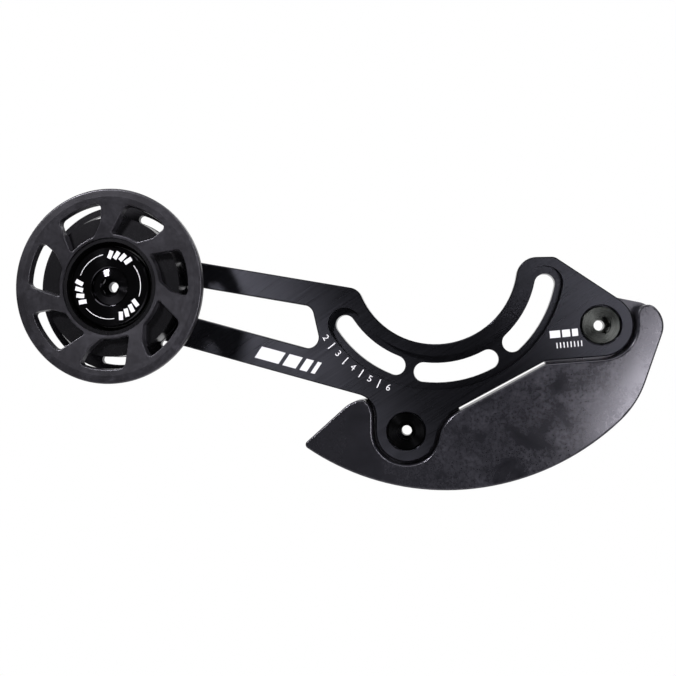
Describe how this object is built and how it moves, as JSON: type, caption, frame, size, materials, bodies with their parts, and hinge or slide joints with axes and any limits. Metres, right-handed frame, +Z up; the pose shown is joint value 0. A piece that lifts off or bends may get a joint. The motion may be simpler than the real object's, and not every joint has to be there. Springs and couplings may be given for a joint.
{
  "type": "bicycle chain guide",
  "caption": "Slotted arm plate that bolts round a bottom bracket, with a moulded chainring skid below and a flanged chain pulley on a sealed bearing at its rear end.",
  "frame": {"origin": "centre of the mounting slots' circle, which is the bottom bracket axis, on the mounting face", "axes": "+X from the pulley towards the skid's front end, +Y inwards to the frame, +Z up; -Y is the outer side"},
  "size_m": [0.1993, 0.0215, 0.0936],
  "materials": {
    "plate_anodised": "black anodised, finely brushed",
    "skid_nylon": "moulded dark grey nylon, cloudy and lightly scuffed",
    "pulley_plastic": "moulded dark grey nylon, satin",
    "bolt_black": "black anodised",
    "bolt_bare": "turned, bare grey",
    "cap_black": "gloss black anodised with a printed white ring",
    "bearing_steel": "ground",
    "seal_rubber": "matte"
  },
  "bodies": {
    "guide_body": {"backplate": "plate_anodised", "skid_plate": "skid_nylon", "lower_skid_bolt": "bolt_black", "front_skid_bolt": "bolt_bare", "skid_nuts": "bolt_black", "bearing_inner_race": "bearing_steel", "pulley_spacer": "plate_anodised", "pulley_axle": "plate_anodised", "hub_cap": "cap_black", "pulley_bolt": "bolt_black"},
    "pulley": {"pulley_front_flange": "pulley_plastic", "pulley_drum": "pulley_plastic", "bearing_outer_race": "bearing_steel", "bearing_front_seal": "seal_rubber", "bearing_rear_seal": "seal_rubber"},
    "ball_set": {"bearing_balls": "bearing_steel", "bearing_cage": "bearing_steel"}
  },
  "joints": [
    {"name": "pulley_spin", "type": "hinge", "parent": "guide_body", "child": "pulley", "pos_m": [-0.1011, -0.0102, -0.007], "axis": [0, -1, 0], "continuous": true},
    {"name": "ball_spin", "type": "hinge", "parent": "guide_body", "child": "ball_set", "pos_m": [-0.1011, -0.0102, -0.007], "axis": [0, -1, 0], "continuous": true}
  ],
  "couplings": [
    {"joint": "ball_spin", "follows": "pulley_spin", "ratio": 0.5923}
  ]
}
